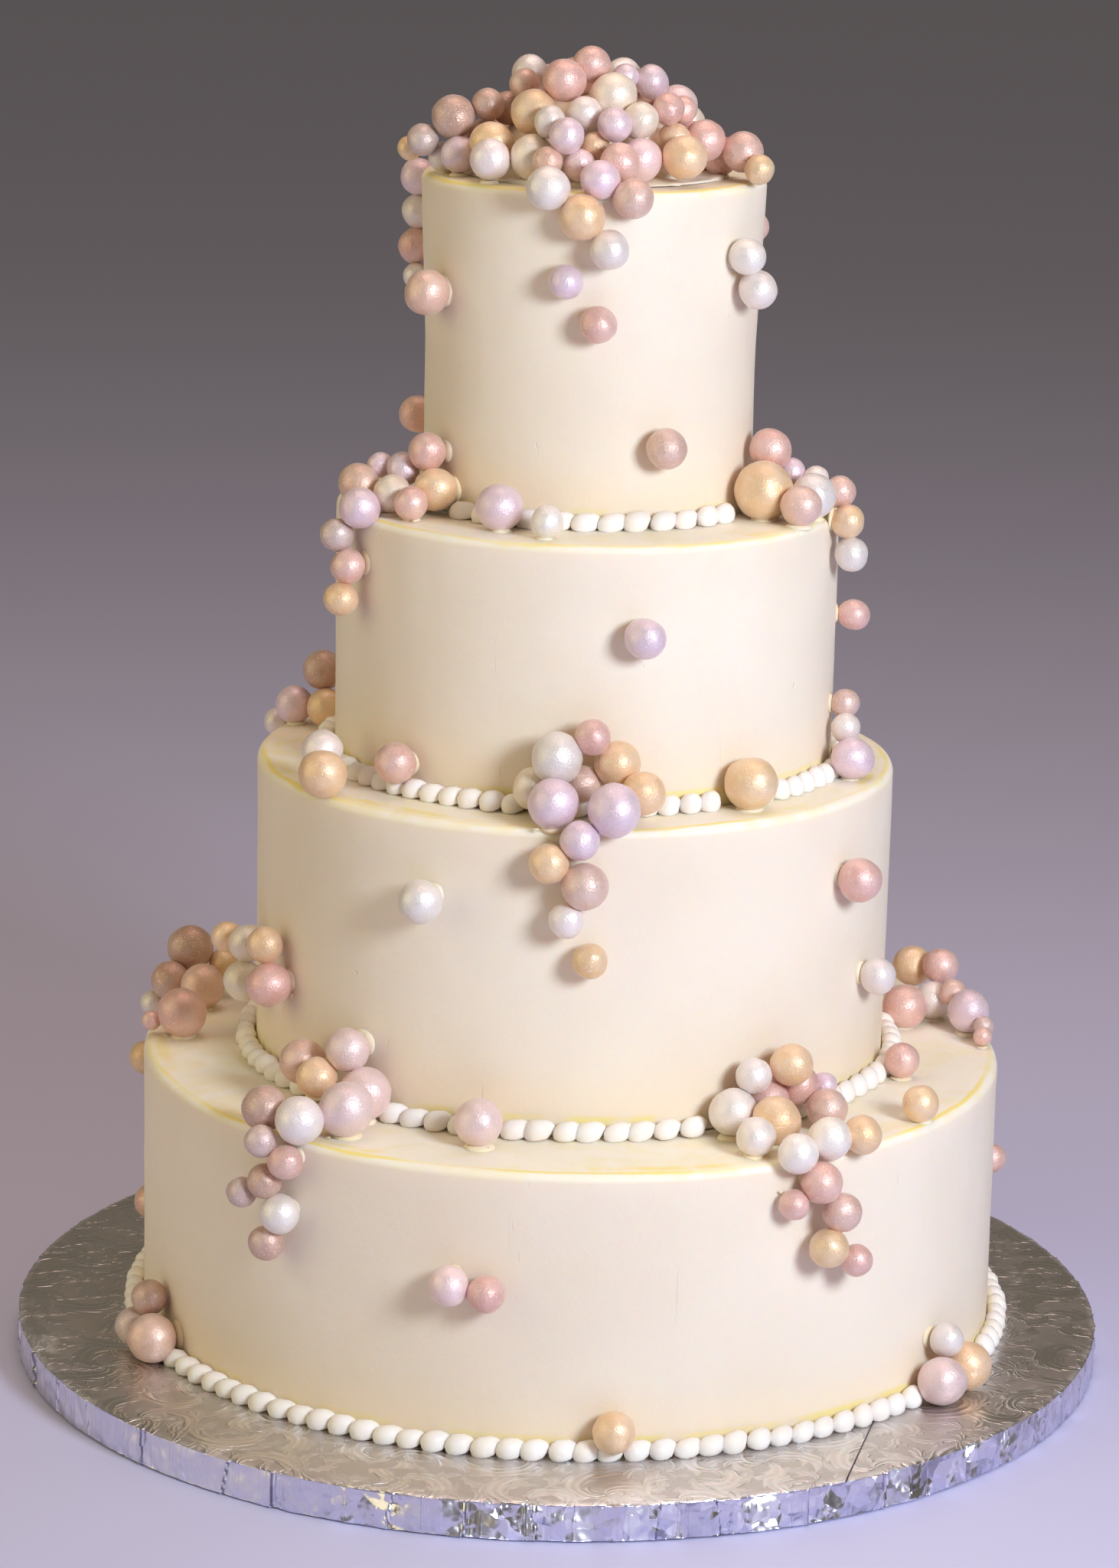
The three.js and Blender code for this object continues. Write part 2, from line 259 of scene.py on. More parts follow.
def foil_paper():
    """Silver foil: soft embossed scrolls on top, crumpled facets down the side, one straight seam.

    Its colour also holds painted light: a lavender reflection down the side, a highlight along the
    rim's edge and shadow at the foot of each pleat.
    """
    made = new_material("embossed_foil", Metallic=1.0)
    place = object_place(made)
    parts = add_node(made, "ShaderNodeSeparateXYZ", {0: place}).outputs
    level = add_node(made, "ShaderNodeCombineXYZ", {0: parts[0], 1: parts[1]}).outputs[0]
    flat = wandering(made, level, 24, 11 * MM)
    leaves = [curling_leaves(made, flat, *cell) for cell in LEAF_CELLS]
    leaf = larger(made, leaves[0], times(made, leaves[1], 0.7))
    on_top = fade(made, parts[2], BOARD_TOP - 1.2 * MM, BOARD_TOP - 0.4 * MM)
    on_side = minus(made, 1.0, on_top)
    seam_x = times(made, minus(made, parts[1], SEAM_AT[1]), SEAM_SLOPE)
    beside = minus(made, minus(made, parts[0], SEAM_AT[0]), seam_x)
    seam = fade(made, maths(made, "ABSOLUTE", beside), 0.55 * MM, 0.25 * MM)
    seam = times(made, on_top, seam)
    overlap = times(made, on_top, fade(made, beside, -0.3 * MM, 0.3 * MM))
    reach = vectors(made, "LENGTH", level)["Value"]
    cloud = noise(made, place, 16, 4, 0.6)
    near_edge = fade(made, reach, BOARD_RADIUS - 22 * MM, BOARD_RADIUS - 8 * MM)
    # Lighter patches in a band near the top's edge.
    lighter_patches = times(made, fade(made, cloud, 0.56, 0.6), near_edge)
    # A painted highlight along the rim's edge.
    at_edge = fade(made, reach, BOARD_RADIUS - 6 * MM, BOARD_RADIUS - 3 * MM)
    painted_rim_highlight = times(made, fade(made, cloud, 0.35, 0.6, 0.3, 0.8), at_edge)
    bent = wandering(made, place, 75, 10 * MM)
    facets = [crumpled_facets(made, bent, size) for size in FACETS]
    more_at_right = fade(made, parts[0], -150 * MM, -60 * MM, 0, 0.35)
    uneven = plus(made, noise(made, place, 6, 1), more_at_right)
    uneven = fade(made, uneven, 0.5, 0.75, 0.1, 1.0)
    crumple = times(made, plus(made, *facets), times(made, on_side, uneven))
    # The painted shadow at each pleat's foot, on the side only.
    pleat_shadow = add_node(made, "ShaderNodeAttribute", attribute_name="pleat_shadow").outputs["Fac"]
    pleat_shadow = times(made, fade(made, pleat_shadow, 0.62, 0.8), on_side)

    colour = blend_colours(made, leaf, FOIL_DULL, FOIL_SILVER)
    # The lighter patches and the painted rim highlight, both towards FOIL_BRIGHT.
    patches_and_rim_highlight = larger(made, times(made, lighter_patches, 0.7), painted_rim_highlight)
    colour = blend_colours(made, patches_and_rim_highlight, colour, FOIL_BRIGHT)
    # Painted reflection: the side is coloured lavender, as if it mirrored the table.
    colour = blend_colours(made, on_side, colour, FOIL_SIDE_REFLECTION)
    # Painted shadow at the pleats, and the seam's dark line.
    dark = larger(made, seam, times(made, pleat_shadow, 0.85))
    join_shader(made, "Base Color", blend_colours(made, dark, colour, PLEAT_SHADOW_AND_SEAM))
    rough = fade(made, leaf, 0, 1, 0.44, 0.26)
    rough = plus(made, rough, fade(made, cloud, 0.3, 0.7, -0.04, 0.05))
    join_shader(made, "Roughness", minus(made, rough, fade(made, on_side, 0, 1, 0, 0.06)))
    fine = relief(made, noise(made, place, 900, 2), 0.12, 0.12 * MM)
    raised = times(made, leaf, fade(made, on_top, 0, 1, 0.3, 1.0))
    embossed = relief(made, minus(made, raised, overlap), 0.8, LEAF_HEIGHT, fine)
    join_shader(made, "Normal", relief(made, crumple, 0.65, 1.0, embossed))
    return made


def pleat_lines():
    """Where the foil is folded into a pleat at the rim: its angle, depth, lean and how dark its painted
    shadow is.
    """
    draw = random.Random(11)
    lines = []
    for i in range(PLEATS):
        angle = (i + draw.uniform(-0.25, 0.25)) * tau / PLEATS
        depth = draw.uniform(0.3, 1.0)
        lines.append((angle, PLEAT_DEPTH * depth, draw.uniform(-1, 1) * PLEAT_LEAN, 0.7 + 0.3 * depth))
    return lines


def press_pleats(piece):
    """Each pleat is a sharp step with a shallow slope on its other side, down the whole rim.

    The foot of the step gets a painted shadow, which the attribute written here marks for the foil's
    material."""
    lines = pleat_lines()
    pleat_shadow = piece.data.attributes.new("pleat_shadow", "FLOAT", "POINT")
    for vertex in piece.data.vertices:
        reach = hypot(vertex.co.x, vertex.co.y)
        if reach < BOARD_RADIUS - RIM_WIDTH - 0.5 * MM:
            continue
        turn = Vector((vertex.co.x, vertex.co.y)).angle_signed(Vector((0, 1)))
        push = 0.0
        for angle, depth, lean, dark in lines:
            gap = (turn - angle + pi) % tau - pi
            along = gap * BOARD_RADIUS + lean * (vertex.co.z / BOARD_TOP - 0.5)
            if -PLEAT_WIDTH < along < 0:
                push += depth * (1 + along / PLEAT_WIDTH)
            elif 0 <= along < PLEAT_TAIL:
                push -= depth * 0.5 * (1 - along / PLEAT_TAIL)
            if abs(along) < FOLD_REACH:
                pleat_shadow.data[vertex.index].value = dark * (1 - abs(along) / FOLD_REACH)
        vertex.co.x *= 1 + push / reach
        vertex.co.y *= 1 + push / reach


def wrapped_board():
    bpy.ops.mesh.primitive_cylinder_add(
        vertices=RIM_FACES, radius=FOIL_RADIUS, depth=BOARD_TOP, location=(0, 0, BOARD_TOP / 2))
    piece = settle(bpy.context.object, "cake_board")
    bpy.ops.object.mode_set(mode="EDIT")
    for height in (0, BOARD_TOP):
        pick(piece, "EDGE", near_rim(height, FOIL_RADIUS))
        bpy.ops.mesh.bevel(offset=RIM_ROUND, segments=3, affect="EDGES")
    cut_bands(RIM_ROUND + (BOARD_TOP - 2 * RIM_ROUND) * i / RIM_BANDS for i in range(1, RIM_BANDS))
    pick(piece, "FACE", lambda face: abs(face.normal.z) > 0.99)
    for ring in FOIL_RINGS:
        bpy.ops.mesh.inset(thickness=ring, use_individual=True)
    bpy.ops.mesh.poke()
    bpy.ops.object.mode_set(mode="OBJECT")
    rim = piece.vertex_groups.new(name="rim")
    for vertex in piece.data.vertices:
        inward = FOIL_RADIUS - hypot(vertex.co.x, vertex.co.y)
        rim.add([vertex.index], max(0.0, min(1.0, 1 - inward / RIM_WIDTH)), "REPLACE")
    for size, depth in RIM_DENTS:
        ripple(piece, "VORONOI", size, depth, "rim", weight_1=-1, weight_2=1)
    press_pleats(piece)
    select_only(piece)
    bpy.ops.object.shade_smooth_by_angle(angle=radians(24))
    return piece


board = wrapped_board()
board.data.materials.append(foil_paper())
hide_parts("board")
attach(board, "root")


# ---- the four tiers ----
# Round sponge cakes stacked from the widest up, each coated in cream-coloured buttercream that is drawn
# smooth with a scraper. The butter leaves thin yellow streaks where the scraper stopped: along each rim
# and at each foot.

TIER_FACES = 288
TIER_BANDS = 12
TIER_ROUND = 4 * MM
FLARE = {1: 2.6 * MM}  # how much wider a tier's rim is than its lower half
LEDGE_RINGS = (6 * MM, 8 * MM, 9 * MM, 12 * MM)
TIER_DENTS = ((75 * MM, 1.5 * MM), (18 * MM, 0.35 * MM))
RIM_STREAK = 3.2 * MM  # this and the next are measured in from the rim
LEDGE_STREAK = 8.5 * MM
FOOT_STREAK = 9.8 * MM  # measured up from the foot
STREAK_WAVER = 9 * MM
CREAM_LIGHT = (0.91, 0.81, 0.69, 1)
CREAM_DEEP = (0.87, 0.755, 0.62, 1)
# Painted warm glow of bounced light in the corner at each tier's foot.
CREAM_GLOW = (0.91, 0.73, 0.52, 1)
# Painted light: the ledges, which face up, are coloured lighter than the walls.
CREAM_LEDGE_LIT = (0.97, 0.91, 0.85, 1)
BUTTER_YELLOW = (0.92, 0.77, 0.24, 1)
BUTTER_PALE = (0.91, 0.81, 0.50, 1)


class Tier:
    def __init__(self, number):
        low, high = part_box(f"tier_{number}")
        self.number = number
        self.rim = (high.y - low.y) / 2
        self.radius = self.rim - FLARE.get(number, 0)
        self.shift = (high.x + low.x) / 2
        self.foot = low.z
        self.top = high.z

    def wall(self, height):
        """The side's radius at a height: even up to its middle, and wider from there to the rim."""
        middle = (self.foot + self.top) / 2
        rise = (height - middle) / (self.top - TIER_ROUND - middle)
        return self.radius + (self.rim - self.radius) * max(0.0, min(1.0, rise))


tiers = {number: Tier(number) for number in (4, 3, 2, 1)}


def buttercream(tier):
    """Creamy white with faint clouds, pits and scraper hairlines, and the butter's yellow streaks."""
    made = new_material(
        f"buttercream_{tier.number}", Subsurface_Weight=0.45, Subsurface_Scale=8 * MM,
        Subsurface_Radius=(1.0, 0.5, 0.2), Specular_IOR_Level=0.35,
    )
    place = object_place(made)
    parts = add_node(made, "ShaderNodeSeparateXYZ", {0: place}).outputs
    sideways = minus(made, parts[0], tier.shift)
    reach = maths(made, "SQRT", plus(
        made, times(made, sideways, sideways), times(made, parts[1], parts[1])))
    waver = times(made, minus(made, noise(made, place, 14, 3), 0.5), STREAK_WAVER)
    inward = plus(made, minus(made, tier.rim, reach), waver)
    down = minus(made, tier.top, parts[2])
    up = minus(made, parts[2], tier.foot)
    on_ledge = fade(made, down, TIER_ROUND, 1.5 * MM)
    broken = fade(made, noise(made, place, 10, 3), 0.42, 0.62)
    smeared = fade(made, noise(made, place, 26, 4, 0.6, 1.5), 0.42, 0.66)

    first = maths(made, "ABSOLUTE", minus(made, inward, RIM_STREAK))
    first = fade(made, first, 1.7 * MM, 0.5 * MM)
    first = times(made, first, fade(made, broken, 0, 1, 0.3, 0.9))
    second = maths(made, "ABSOLUTE", minus(made, inward, LEDGE_STREAK))
    second = fade(made, second, 4.5 * MM, 0.6 * MM)
    second = times(made, second, fade(made, noise(made, place, 7, 2), 0.44, 0.6))
    second = times(made, second, fade(made, smeared, 0, 1, 0.35, 1.0))
    streak = times(made, larger(made, first, times(made, second, 0.75)), on_ledge)
    at_foot = plus(made, up, times(made, waver, 0.35))
    at_foot = fade(made, at_foot, FOOT_STREAK, FOOT_STREAK - 1.8 * MM)
    at_foot = times(made, at_foot, fade(made, noise(made, place, 40, 2), 0.4, 0.56))
    at_foot = times(made, at_foot, fade(made, broken, 0, 1, 0.3, 0.65))
    streak = larger(made, streak, at_foot)

    wash = times(made, fade(made, inward, 30 * MM, 6 * MM), smeared)
    wash = times(made, times(made, wash, on_ledge), 0.2)
    over_rim = fade(made, down, 5.5 * MM, 1.5 * MM)
    over_rim = times(made, over_rim, fade(made, smeared, 0, 1, 0.2, 0.55))
    pale = larger(made, wash, over_rim)
    # Painted warm glow of bounced light in the corners: up each wall's foot, and on the ledge round the
    # foot of the tier above.
    painted_foot_glow = times(made, fade(made, up, 38 * MM, 6 * MM), 0.45)
    above = tiers.get(tier.number - 1)
    if above:
        near_foot = fade(made, minus(made, reach, above.radius), 26 * MM, 8 * MM)
        near_foot = times(made, near_foot, on_ledge)
        painted_foot_glow = larger(made, painted_foot_glow, times(made, near_foot, 0.22))

    clouds = fade(made, noise(made, place, 9, 4), 0.3, 0.72)
    colour = blend_colours(made, clouds, CREAM_DEEP, CREAM_LIGHT)
    # Painted light: the ledges are coloured lighter than the walls.
    colour = blend_colours(made, times(made, on_ledge, 0.9), colour, CREAM_LEDGE_LIT)
    colour = blend_colours(made, painted_foot_glow, colour, CREAM_GLOW)
    colour = blend_colours(made, pale, colour, BUTTER_PALE)
    join_shader(made, "Base Color", blend_colours(made, streak, colour, BUTTER_YELLOW))
    join_shader(made, "Roughness", fade(made, noise(made, place, 40, 3), 0.3, 0.7, 0.42, 0.56))

    drawn = add_node(made, "ShaderNodeMapping", {"Vector": place, "Scale": (1, 1, 0.16)}).outputs[0]
    hairs = fade(made, noise(made, drawn, 110, 3, 0.6, 1.6), 0.7, 0.76)
    pits = add_node(made, "ShaderNodeTexVoronoi", {"Vector": place, "Scale": 46.0}).outputs
    pit_size = fade(made, pits["Color"], 0.55, 1.0, 0.0, 0.075)
    pit = fade(made, minus(made, pits["Distance"], pit_size), -0.02, 0.02)
    marks = minus(made, pit, times(made, hairs, 0.6))
    skin = relief(made, noise(made, place, 600, 4, 0.6), 0.35, 0.22 * MM)
    skin = relief(made, noise(made, place, 90, 3), 0.25, 1.2 * MM, skin)
    join_shader(made, "Normal", relief(made, marks, 0.7, 0.5 * MM, skin))
    return made


def smoothed_tier(tier):
    height = tier.top - tier.foot
    bpy.ops.mesh.primitive_cylinder_add(
        vertices=TIER_FACES, radius=tier.radius, depth=height,
        location=(tier.shift, 0, tier.foot + height / 2))
    piece = settle(bpy.context.object, f"cream_tier_{tier.number}")
    bpy.ops.object.mode_set(mode="EDIT")
    pick(piece, "EDGE", near_rim(tier.top, tier.radius, tier.shift))
    bpy.ops.mesh.bevel(offset=TIER_ROUND, segments=5, affect="EDGES")
    bands = [tier.foot + (height - TIER_ROUND) * i / TIER_BANDS for i in range(1, TIER_BANDS + 1)]
    cut_bands(bands[:-1])
    pick(piece, "FACE", lambda face: abs(face.normal.z) > 0.99)
    for ring in LEDGE_RINGS:
        bpy.ops.mesh.inset(thickness=ring, use_individual=True)
    bpy.ops.mesh.poke()
    if tier.rim > tier.radius:
        for low, high in zip(bands, bands[1:] + [tier.top + MM]):
            widen = tier.wall(low) / tier.radius
            pick(piece, "VERT", lambda vertex: low - 0.1 * MM < vertex.co.z < high - 0.1 * MM)
            bpy.ops.transform.resize(value=(widen, widen, 1), center_override=(tier.shift, 0, low))
    bpy.ops.object.mode_set(mode="OBJECT")
    for size, depth in TIER_DENTS:
        ripple(piece, "CLOUDS", size, depth)
    select_only(piece)
    bpy.ops.object.shade_smooth_by_angle(angle=radians(50))
    return piece


for tier in tiers.values():
    coated = smoothed_tier(tier)
    coated.data.materials.append(buttercream(tier))
    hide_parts(f"tier_{tier.number}")
    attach(coated, "root")


# ---- where the pearls go ----
# Sugar pearls lie in heaps on the ledges, run down the sides in strings, and dot the sides alone. They
# are placed first, because the piped beads stop where a pearl sits.
# A row is (tier, angle, out, up, across, tone), in degrees and millimetres. The angle goes round the
# tier from the front (0) to the right (90). Out is the space between the tier's side and the pearl,
# and up is the space under it down to the tier's foot. Tier 0 is the heap on the very top, whose
# pearls measure out from the tier's middle line and up from its top.

PEARLS = {
    "crown": [
        (0, 0, 45, 10, 14, "gold"), (0, 9, 49, 20, 16, "lavender"), (0, -6, 54, 3, 15, "blush"),
        (0, -11, 58, 15, 16, "lavender"), (0, -18, 62, 4, 14, "peach"), (0, -29, 48, 2, 20, "ivory"),
        (0, -43, 61, 1, 19, "white"), (0, -54, 47, 6, 20, "gold"), (0, 24, 41, 20, 17, "ivory"),
        (0, 12, 26, 28, 21, "ivory"), (0, -6, 38, 23, 16, "white"), (0, -20, 50, 20, 15, "white"),
        (0, -35, 37, 20, 21, "gold"), (0, 41, 43, 26, 15, "rose"), (0, 45, 42, 11, 16, "gold"),
        (0, 38, 55, 3, 20, "gold"), (0, 22, 45, 2, 20, "blush"), (0, 9, 59, 3, 18, "rose"),
        (0, 0, 75, -5, 18, "lavender"), (1, 12, 1, 140, 18, "copper"), (0, 56, 41, 25, 13, "rose"),
        (0, 62, 47, 9, 19, "rose"), (0, 69, 62, 4, 19, "copper"), (0, 79, 49, 1, 18, "rose"),
        (0, 63, 76, 0, 14, "gold"), (1, -5, 1, 125, 21, "gold"), (0, -13, 78, -8, 20, "white"),
        (1, 6, 3, 116, 18, "white"), (0, -67, 58, 1, 17, "lavender"), (0, -79, 63, 0, 14, "white"),
        (0, -76, 73, 8, 15, "lilac"), (0, -83, 79, 5, 11, "gold"), (0, -72, 57, 15, 20, "taupe"),
        (0, -70, 44, 24, 15, "taupe"), (0, -81, 32, 21, 16, "taupe"), (0, -20, 28, 36, 20, "rose"),
        (0, -110, 20, 19, 18, "lavender"), (0, -90, 21, 34, 18, "white"), (0, -67, 28, 34, 14, "copper"),
        (0, -3, 15, 43, 17, "rose"),
        (0, 30, 21, 40, 12, "lavender"), (0, 54, 23, 35, 16, "lavender"),
        (0, 101, 44, 0, 17, "gold"), (0, 128, 42, 0, 16, "blush"), (0, 148, 44, 1, 18, "copper"),
        (0, 170, 43, 2, 21, "ivory"), (0, 193, 45, 0, 18, "lavender"), (0, 215, 44, 1, 20, "peach"),
        (0, 238, 45, 0, 19, "rose"), (0, 259, 44, 2, 17, "lavender"), (0, 139, 59, 0, 16, "rose"),
        (0, 166, 61, 0, 13, "lavender"), (0, 207, 59, 0, 16, "gold"), (0, 243, 61, 0, 14, "ivory"),
        (0, 122, 33, 10, 15, "lavender"), (0, 145, 34, 14, 17, "white"), (0, 170, 34, 17, 19, "rose"),
        (0, 195, 35, 17, 18, "gold"), (0, 220, 34, 16, 18, "blush"),
        (0, 133, 21, 26, 14, "gold"), (0, 180, 20, 27, 18, "copper"), (0, 180, -5, 34, 17, "peach"),
    ],
    "top_side_pair": [(1, 54, 1, 112, 17, "white"), (1, 58, 3, 96, 18, "white")],
    "top_side_behind": [(1, 116, 1, 116, 14, "rose")],
    "top_side_upper": [(1, -8, 0, 104, 16, "lavender")],
    "top_side_lower": [(1, 2, 0, 85, 17, "rose")],
    "top_side_foot": [(1, 24, 0, 28, 19, "copper")],
    "top_side_left": [(1, -110, 0, 24, 18, "rose")],
    "top_side_string": [
        (1, -107, 0, 136, 17, "lavender"), (1, -108, 0, 119, 17, "white"), (1, -107, 1, 102, 17, "rose"),
        (1, -104, 1, 88, 13, "white"),
    ],
    "top_side_string_end": [(1, -59, 0, 90, 21, "peach")],
    "second_ledge_left": [
        (1, -53, 0, 2, 20, "gold"), (1, -58, 1, 19, 18, "rose"), (1, -66, 9, 10, 16, "lavender"),
        (1, -72, 18, 13, 12, "lavender"), (1, -69, 26, 2, 19, "peach"), (1, -60, 17, 0, 18, "ivory"),
        (1, -51, 17, 0, 16, "rose"), (1, -60, 36, -6, 19, "lavender"), (2, -63, 2, 105, 16, "lilac"),
        (2, -60, 0, 90, 16, "rose"), (2, -60, 4, 75, 16, "gold"),
    ],
    "second_ledge_right": [
        (1, 61, 2, 0, 27, "gold"), (1, 71, 2, 20, 20, "rose"), (1, 69, 28, 0, 21, "white"),
        (1, 58, 28, 0, 19, "copper"), (1, 76, 15, 11, 13, "lavender"), (1, 75, 26, 10, 12, "white"),
        (1, 76, 36, 3, 15, "copper"), (2, 73, 0, 110, 16, "gold"), (2, 73, 2, 95, 16, "white"),
    ],
    "second_foot_left": [(1, -25, 6, 0, 21, "lavender")],
    "second_foot_front": [(1, -10, 19, 0, 15, "white")],
    "second_side_front": [(2, 12, 0, 72, 19, "lavender")],
    "second_side_right": [(2, 88, 1, 62, 15, "rose")],
    "third_ledge_left": [(2, -51, 23, -1, 22, "gold"), (2, -57, 15, 7, 19, "white")],
    "third_ledge_left_back": [
        (2, -108, 3, 0, 19, "gold"), (2, -111, 7, 15, 20, "taupe"), (2, -109, 20, 0, 18, "lavender"),
        (2, -110, 33, -7, 13, "white"),
    ],
    "third_foot_left": [(2, -42, 0, 6, 19, "rose")],
    "third_ledge_right": [
        (2, 71, 5, 0, 20, "lavender"), (2, 75, 2, 15, 14, "white"), (2, 79, 0, 24, 14, "copper"),
    ],
    "third_foot_right": [(2, 36, 0, 0, 24, "gold")],
    "third_front": [
        (2, 0, 0, 7, 17, "copper"), (2, 7, 0, 15, 21, "gold"), (2, -5, 5, 17, 23, "white"),
        (2, 1, 6, 29, 16, "rose"), (2, 11, 14, 5, 20, "gold"), (2, -10, 1, 3, 19, "ivory"),
        (2, -5, 20, -1, 23, "lavender"), (2, 5, 27, -1, 24, "lavender"), (3, 1, 0, 130, 18, "lavender"),
        (3, -4, 1, 119, 18, "gold"), (3, 2, 0, 108, 21, "copper"), (3, -1, 2, 94, 16, "white"),
    ],
    "third_front_last": [(3, 3, 0, 76, 16, "gold")],
    "third_side_left": [(3, -25, 0, 96, 20, "white")],
    "third_side_right": [(3, 55, 0, 96, 20, "rose")],
    "third_side_far_right": [(3, 64, 0, 46, 17, "white")],
    "third_wall_three": [
        (3, -72, 0, 49, 18, "ivory"), (3, -76, 7, 50, 15, "gold"), (3, -71, 2, 30, 19, "ivory"),
    ],
    "third_wall_two": [(3, -60, 0, 37, 21, "rose"), (3, -62, 2, 61, 17, "gold")],
    "base_ledge_far_left": [
        (3, -102, 22, 0, 22, "peach"), (3, -104, 43, 1, 19, "taupe"), (3, -104, 54, -9, 13, "white"),
        (3, -108, 35, 12, 23, "taupe"), (3, -110, 23, 8, 15, "gold"),
    ],
    "base_ledge_left_pair": [(3, -87, 23, 0, 24, "rose"), (3, -88, 45, 2, 10, "rose")],
    "base_ledge_left_edge": [(4, -102, 0, 94, 17, "gold")],
    "base_ledge_left": [
        (3, -34.5, 0, 1, 24, "blush"), (3, -38.5, 1, 21, 20, "blush"), (3, -42, 14, 7, 19, "gold"),
        (3, -47.5, 4, 10, 21, "peach"), (3, -32.5, 22, 0, 25, "blush"), (3, -36, 45, -1, 22, "white"),
        (3, -41.5, 44, 1, 21, "taupe"), (3, -39.5, 57, -7, 15, "lilac"), (4, -36.5, 0, 114, 16, "rose"),
        (4, -39.5, 2, 103, 16, "taupe"), (4, -43, 6, 96, 14, "lilac"), (4, -37, 0, 88, 18, "white"),
        (4, -39, 3, 74, 16, "taupe"),
    ],
    "base_foot_front": [(3, -13.5, 9, 0, 22, "blush")],
    "base_ledge_right": [
        (3, 41, 0, 8, 19, "rose"), (3, 37, 7, 21, 20, "gold"), (3, 35.5, 0, 4, 20, "rose"),
        (3, 31.5, 4, 16, 17, "white"), (3, 27, 2, 0, 22, "white"), (3, 32, 22, 0, 22, "gold"),
        (3, 23.5, 37, -2, 18, "white"), (3, 42, 15, 0, 19, "copper"), (3, 46, 6, 9, 12, "lavender"),
    ],
    "base_ledge_right_front": [
        (3, 34, 48, -1, 20, "white"), (3, 28.5, 51, -4, 18, "white"), (3, 39, 50, -1, 18, "gold"),
        (4, 31.5, 0, 113, 19, "rose"), (4, 27.5, 0, 104, 14, "rose"), (4, 34, 3, 100, 18, "copper"),
        (4, 32.5, 3, 82, 18, "gold"), (4, 36, 7, 77, 15, "rose"),
    ],
    "base_ledge_far_right": [
        (3, 104.5, 24, 0, 19, "white"), (3, 101, 3, -1, 22, "rose"), (3, 101, 33, 10, 13, "copper"),
        (3, 106.5, 30, 15, 18, "rose"), (3, 111.5, 21, 11, 20, "gold"), (3, 96.5, 34, 1, 21, "lavender"),
        (3, 92.5, 45, 3, 10, "lilac"), (3, 90.5, 44, 1, 9, "rose"),
    ],
    "base_ledge_right_back": [(3, 72, 6, 0, 17, "rose")],
    "base_ledge_right_mid": [(3, 54, 40, 0, 17, "gold")],
    "base_side_right": [(4, 101, 0, 54, 15, "rose")],
    "base_side_pair": [(4, -14, 0, 70, 18, "blush"), (4, -9.5, 0, 68, 17, "rose")],
    "base_side_left": [(4, -105, 0, 16, 18, "peach")],
    "board_left": [
        (4, -62.5, 1, 0, 23, "peach"), (4, -68, 4, 1, 19, "lilac"), (4, -66.5, 0, 17, 17, "taupe"),
    ],
    "board_front": [(4, 6, 0, 5, 19, "gold")],
    "board_right": [
        (4, 52.5, 3, 0, 23, "blush"), (4, 58.5, 3, 1, 23, "gold"), (4, 55.5, 1, 19, 16, "white"),
    ],
}
# The back repeats the first few pearls of a front group: which group, turned how far, and how many.
BACK = {
    "back_second_ledge": ("second_ledge_left", -112, 5),
    "back_third_ledge": ("third_front", 171, 9),
    "back_base_ledge_left": ("base_ledge_left", -116, 8),
    "back_base_ledge_right": ("base_ledge_right", 113, 7),
    "back_board": ("board_right", 116, 3),
    "back_top_side": ("top_side_pair", 128, 2),
    "back_third_side": ("third_side_left", 158, 1),
    "back_base_side": ("base_side_pair", 178, 2),
}
PEARL_BITE = 0.9 * MM
FOOT_BITE = 0.3 * MM
MOUND_RADIUS = 47 * MM
MOUND_HEIGHT = 37 * MM
# The heap's mound is covered from behind by more pearls: their sizes in millimetres, from which angle
# on, down to which slope of the mound, and how much of a pearl's width stands clear of it.
COVER_SIZES = (19, 17, 15, 13)
COVER_TRIES = 400
COVER_FROM = 62
COVER_SLOPE = radians(75)
COVER_LIFT = 0.36
COVER_BITE = 1.2 * MM
COVER_TONES = ("rose", "gold", "lavender", "white", "copper", "ivory", "blush", "peach")


class Pearl:
    """A ball placed by its row, and turned round the cake by so many degrees."""

    def __init__(self, row, turn=0):
        number, angle, out, up, across, self.tone = row
        tier = tiers[max(number, 1)]
        wall = tier.radius if number else 0
        floor = tier.foot - FOOT_BITE if number else tier.top
        around = radians(angle + turn)
        self.radius = across * MM / 2
        reach = wall + out * MM + self.radius
        self.centre = Vector((
            tier.shift + reach * sin(around), -reach * cos(around), floor + up * MM + self.radius))

    def space_to(self, other):
        return (self.centre - other.centre).length - self.radius - other.radius


def leaning(pearls):
    """Each pearl of a group is pressed against the nearest one placed before it."""
    placed = []
    for pearl in pearls:
        nearest = min(placed, key=pearl.space_to, default=None)
        if nearest:
            towards = (nearest.centre - pearl.centre).normalized()
            pearl.centre += towards * (pearl.space_to(nearest) + PEARL_BITE)
        placed.append(pearl)
    return placed


def covering(pearls):
    """More pearls on the bare back of the heap's mound, wherever one fits between the others."""
    draw = random.Random(5)
    added = []
    for across in COVER_SIZES:
        for _ in range(COVER_TRIES):
            around = draw.uniform(COVER_FROM, 360 - COVER_FROM)
            slope = draw.uniform(0, COVER_SLOPE)
            outwards = Vector((sin(slope) / MOUND_RADIUS, cos(slope) / MOUND_HEIGHT)).normalized()
            lift = outwards * across * COVER_LIFT
            out = MOUND_RADIUS * sin(slope) / MM + lift.x - across / 2
            up = MOUND_HEIGHT * cos(slope) / MM + lift.y - across / 2
            pearl = Pearl((0, around, out, up, across, draw.choice(COVER_TONES)))
            if all(pearl.space_to(other) > -COVER_BITE for other in pearls + added):
                added.append(pearl)
    return added


groups = {name: leaning([Pearl(row) for row in rows]) for name, rows in PEARLS.items()}
for name, (source, turn, count) in BACK.items():
    groups[name] = leaning([Pearl(row, turn) for row in PEARLS[source][:count]])
groups["crown_cover"] = covering(groups["crown"])
every_pearl = [pearl for pearls in groups.values() for pearl in pearls]


